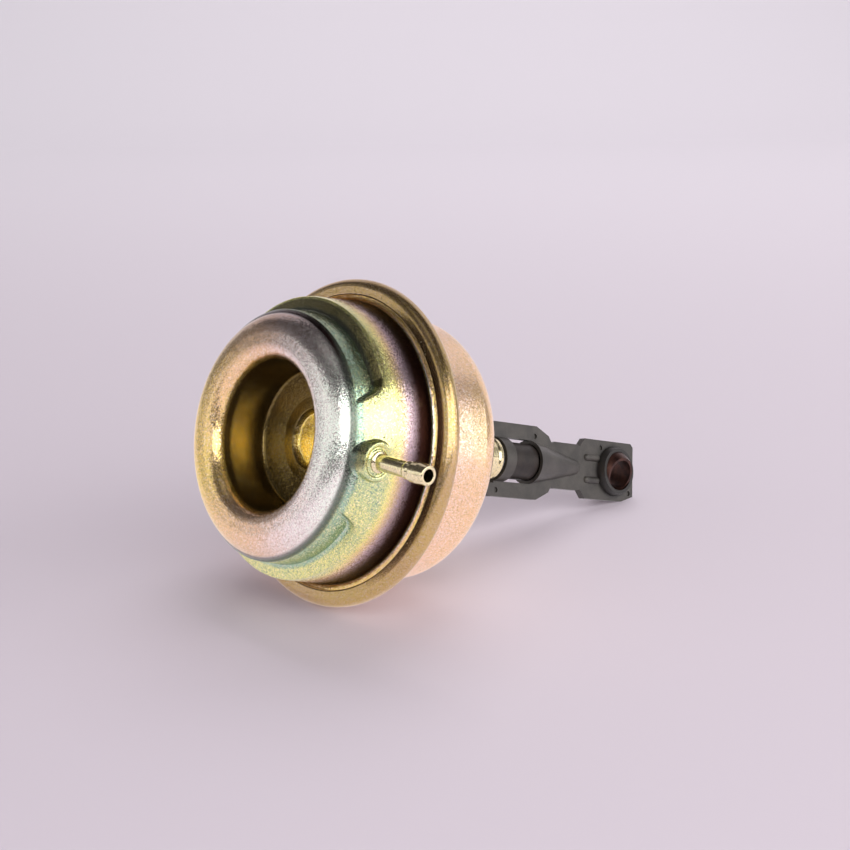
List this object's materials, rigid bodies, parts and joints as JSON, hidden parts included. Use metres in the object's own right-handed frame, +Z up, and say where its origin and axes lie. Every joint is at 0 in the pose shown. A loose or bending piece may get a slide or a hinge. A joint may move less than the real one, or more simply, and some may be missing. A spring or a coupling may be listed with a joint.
{
  "type": "turbo wastegate actuator",
  "caption": "Pressed-steel diaphragm actuator with side hose nipple, rear studs, guided push rod and stamped adjustable link with a swivelling eye.",
  "frame": {"origin": "centre of the stud pattern on the rear can's flat mounting face, on the actuator's axis", "axes": "+X along the actuator axis towards the rod eye, +Z up with the link blade upright, -Y towards the hose nipple's side"},
  "size_m": [0.1302, 0.0847, 0.076],
  "materials": {
    "front_can": "iridescent yellow zinc plate, satin",
    "rear_can": "iridescent yellow zinc plate, satin",
    "hose_nipple": "yellow zinc plate, turned",
    "guide_collar": "yellow zinc plate, turned",
    "mounting_studs": "yellow zinc plate",
    "diaphragm": "fabric-backed silicone rubber",
    "diaphragm_plate": "plain zinc plate",
    "piston": "pressed sheet",
    "rod_washer": "plain",
    "push_rod": "drawn bar",
    "return_spring": "spring wire, oiled",
    "spring_seat": "plain",
    "guide_bush": "sintered bronze",
    "dust_wiper": "felt",
    "adjuster_nut": "black-brown phosphate",
    "link_shell_near": "matt black phosphate",
    "link_shell_far": "matt black phosphate",
    "eye_ball": "dark sintered bronze, oiled"
  },
  "bodies": {
    "can": {"front_can": "front_can", "rear_can": "rear_can", "hose_nipple": "hose_nipple", "mounting_studs": "mounting_studs", "guide_collar": "guide_collar", "guide_bush": "guide_bush", "dust_wiper": "dust_wiper", "spring_seat": "spring_seat", "diaphragm": "diaphragm", "return_spring": "return_spring"},
    "rod": {"push_rod": "push_rod", "rod_washer": "rod_washer", "diaphragm_plate": "diaphragm_plate", "piston": "piston"},
    "link": {"link_shell_near": "link_shell_near", "link_shell_far": "link_shell_far"},
    "nut": {"adjuster_nut": "adjuster_nut"},
    "eye": {"eye_ball": "eye_ball"}
  },
  "joints": [
    {"name": "rod_slide", "type": "slide", "parent": "can", "child": "rod", "axis": [1, 0, 0], "range_m": [0, 0.012], "stiffness_N_per_m": 10000, "springref_m": -0.012, "deforming": ["return_spring", "diaphragm"]},
    {"name": "link_adjust", "type": "slide", "parent": "rod", "child": "link", "axis": [1, 0, 0], "range_m": [-0.0004, 0.003]},
    {"name": "nut_turn", "type": "hinge", "parent": "link", "child": "nut", "pos_m": [0.03645, 0, 0], "axis": [1, 0, 0], "range_deg": [-150, 1090]},
    {"name": "eye_swivel", "type": "hinge", "parent": "link", "child": "eye", "pos_m": [0.0754, 0, 0], "axis": [1, 0, 0], "range_deg": [-36, 0]}
  ],
  "couplings": [
    {"joint": "nut_turn", "follows": "link_adjust", "rad_per_m": 6283.2}
  ]
}
